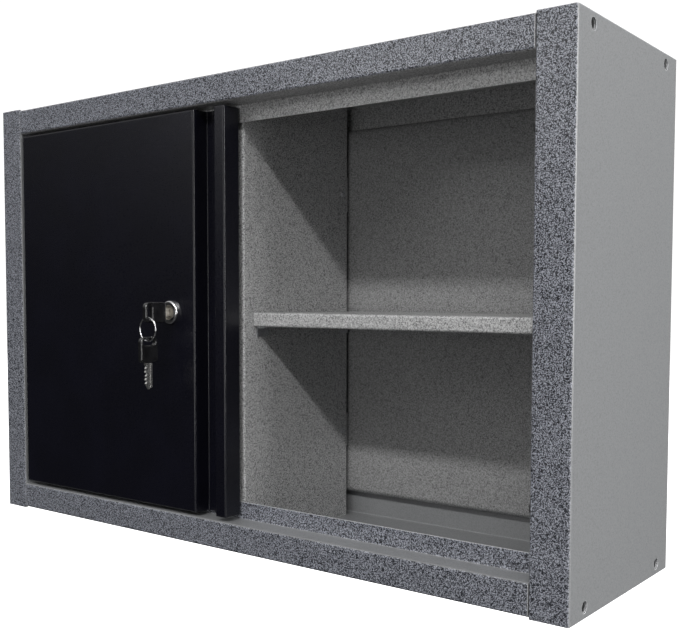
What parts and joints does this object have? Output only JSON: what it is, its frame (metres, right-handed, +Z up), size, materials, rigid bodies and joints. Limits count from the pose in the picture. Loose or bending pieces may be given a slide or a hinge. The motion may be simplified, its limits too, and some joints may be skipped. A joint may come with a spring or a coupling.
{
  "type": "hanging wall cabinet",
  "caption": "Wide sheet-steel wall cabinet with one sliding door, a cam lock, a centre partition and a shelf in each half.",
  "frame": {"origin": "on the wall plane, at the centre of the four wall holes", "axes": "+X along the width, +Y into the wall so that the front faces -Y, +Z up"},
  "size_m": [0.6, 0.2025, 0.38],
  "materials": {
    "hammertone_paint": "hammertone grey powder coat",
    "door_paint": "satin black powder coat",
    "chrome": "polished chrome plate",
    "plug_metal": "nickel-plated die casting",
    "zinc": "zinc-plated steel",
    "key_steel": "nickel-plated steel",
    "key_plastic": "smooth black plastic",
    "nylon": "natural nylon",
    "rubber": "moulded black rubber"
  },
  "bodies": {
    "carcass": {"side_panel_left": "hammertone_paint", "side_panel_right": "hammertone_paint", "top_panel": "hammertone_paint", "bottom_panel": "hammertone_paint", "back_panel": "hammertone_paint", "centre_partition": "hammertone_paint", "partition_brackets": "hammertone_paint", "partition_rivets": "zinc", "shelf_left": "hammertone_paint", "shelf_right": "hammertone_paint", "shelf_clips_left": "zinc", "shelf_clips_right": "zinc", "lock_strike": "zinc", "door_stops": "rubber"},
    "door": {"door_panel": "door_paint", "door_stiffener": "door_paint", "top_glides": "nylon", "bottom_glides": "nylon", "glide_screws": "zinc", "lock_body": "chrome", "lock_nut": "zinc"},
    "lock_plug": {"lock_plug": "plug_metal", "lock_cam": "zinc", "cam_screw": "zinc"},
    "key": {"key_blade": "key_steel", "key_bow": "key_plastic"},
    "key_ring": {"key_ring": "key_steel"},
    "spare_key": {"spare_key_blade": "key_steel", "spare_key_bow": "key_plastic"}
  },
  "joints": [
    {"name": "door_slide", "type": "slide", "parent": "carcass", "child": "door", "axis": [1, 0, 0], "range_m": [0, 0.268]},
    {"name": "lock_turn", "type": "hinge", "parent": "door", "child": "lock_plug", "pos_m": [-0.0622, -0.16, 0.001], "axis": [0, 1, 0], "range_deg": [0, 90]},
    {"name": "key_pull", "type": "slide", "parent": "lock_plug", "child": "key", "axis": [0, -1, 0], "range_m": [0, 0.017]},
    {"name": "ring_hang", "type": "hinge", "parent": "key", "child": "key_ring", "pos_m": [-0.0622, -0.194, -0.00625], "axis": [0, 1, 0], "range_deg": [-90, 0]},
    {"name": "spare_key_swing", "type": "hinge", "parent": "key_ring", "child": "spare_key", "pos_m": [-0.0622, -0.194, -0.022], "axis": [1, 0, 0], "range_deg": [-75, 25]}
  ],
  "couplings": [
    {"joint": "ring_hang", "follows": "lock_turn", "ratio": -1}
  ]
}
